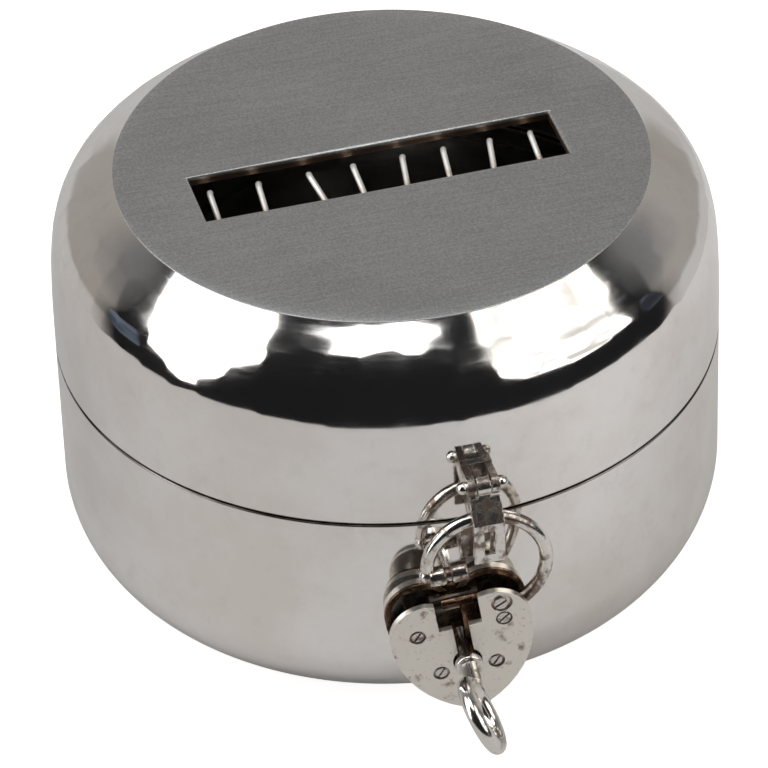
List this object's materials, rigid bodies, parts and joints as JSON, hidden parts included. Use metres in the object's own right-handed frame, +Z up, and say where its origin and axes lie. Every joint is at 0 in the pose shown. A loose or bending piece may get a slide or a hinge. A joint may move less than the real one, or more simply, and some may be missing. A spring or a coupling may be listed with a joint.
{
  "type": "coin bank",
  "caption": "Round sheet-metal coin bank with a domed hinged lid, a wire-guarded coin slot in a flat top disc, a hasp and a small heart-shaped padlock with its key.",
  "frame": {"origin": "centre of the resting face on the cup's axis", "axes": "+Z up along the cup's axis; -Y towards the hasp and padlock, +Y towards the lid's hinge; +X to the right as seen from the front, along the coin slot"},
  "size_m": [0.1, 0.1299, 0.067],
  "materials": {
    "polished_silver": "polished",
    "hammered_silver": "polished over fine hammering",
    "satin_silver": "satin brushed",
    "hardware_silver": "polished, tarnished in the corners",
    "padlock_plate": "worn satin",
    "padlock_inner": "dark, tarnished",
    "dark_silver": "tarnished",
    "guard_wire": "drawn wire"
  },
  "bodies": {
    "cup": {"body_shell": "polished_silver", "rim_collar": "polished_silver", "hinge_leaf_body": "polished_silver", "hinge_pin": "dark_silver", "lock_lug": "hardware_silver"},
    "lid": {"lid_shell": "hammered_silver", "top_disc": "satin_silver", "wire_rail": "dark_silver", "guard_wire_1": "guard_wire", "guard_wire_2": "guard_wire", "guard_wire_3": "guard_wire", "guard_wire_4": "guard_wire", "guard_wire_5": "guard_wire", "guard_wire_6": "guard_wire", "guard_wire_7": "guard_wire", "guard_wire_8": "guard_wire", "hinge_leaf_lid": "polished_silver", "hasp_bracket": "hardware_silver", "hasp_pin": "hardware_silver"},
    "hasp": {"hasp": "hardware_silver"},
    "shackle": {"shackle": "hardware_silver"},
    "padlock_case": {"case_back": "padlock_plate", "case_rim": "padlock_inner", "case_front": "padlock_plate", "case_screws": "hardware_silver", "shackle_pivot": "hardware_silver", "drill_pin": "dark_silver", "detent_spring": "padlock_inner"},
    "lock_cam": {"lock_cam": "padlock_inner"},
    "lock_bolt": {"lock_bolt": "padlock_inner"},
    "key": {"key_shank": "hardware_silver", "key_bit": "hardware_silver", "key_bow": "hardware_silver"}
  },
  "joints": [
    {"name": "lid_hinge", "type": "hinge", "parent": "cup", "child": "lid", "pos_m": [0, 0.0524, 0.03815], "axis": [-1, 0, 0], "range_deg": [0, 105]},
    {"name": "hasp_hinge", "type": "hinge", "parent": "lid", "child": "hasp", "pos_m": [0, -0.0538, 0.0468], "axis": [-1, 0, 0], "range_deg": [0, 110]},
    {"name": "padlock_swing", "type": "hinge", "parent": "cup", "child": "shackle", "pos_m": [0, -0.0541, 0.0412], "axis": [-1, 0, 0], "range_deg": [0, 60]},
    {"name": "shackle_pivot", "type": "hinge", "parent": "shackle", "child": "padlock_case", "pos_m": [0.00218, -0.05433, 0.02482], "axis": [-0.1045, -0.9945, 0], "range_deg": [-25, 35]},
    {"name": "key_turn", "type": "hinge", "parent": "padlock_case", "child": "lock_cam", "pos_m": [-0.00325, -0.05376, 0.01769], "axis": [-0.1045, -0.9945, 0], "range_deg": [0, 90]},
    {"name": "key_pull", "type": "slide", "parent": "lock_cam", "child": "key", "axis": [-0.1045, -0.9945, 0], "range_m": [0, 0.016]},
    {"name": "bolt_slide", "type": "slide", "parent": "padlock_case", "child": "lock_bolt", "axis": [-0.9848, 0.1035, -0.1392], "range_m": [0, 0.00347]}
  ],
  "couplings": [
    {"joint": "bolt_slide", "follows": "key_turn", "m_per_rad": 0.0022058}
  ]
}
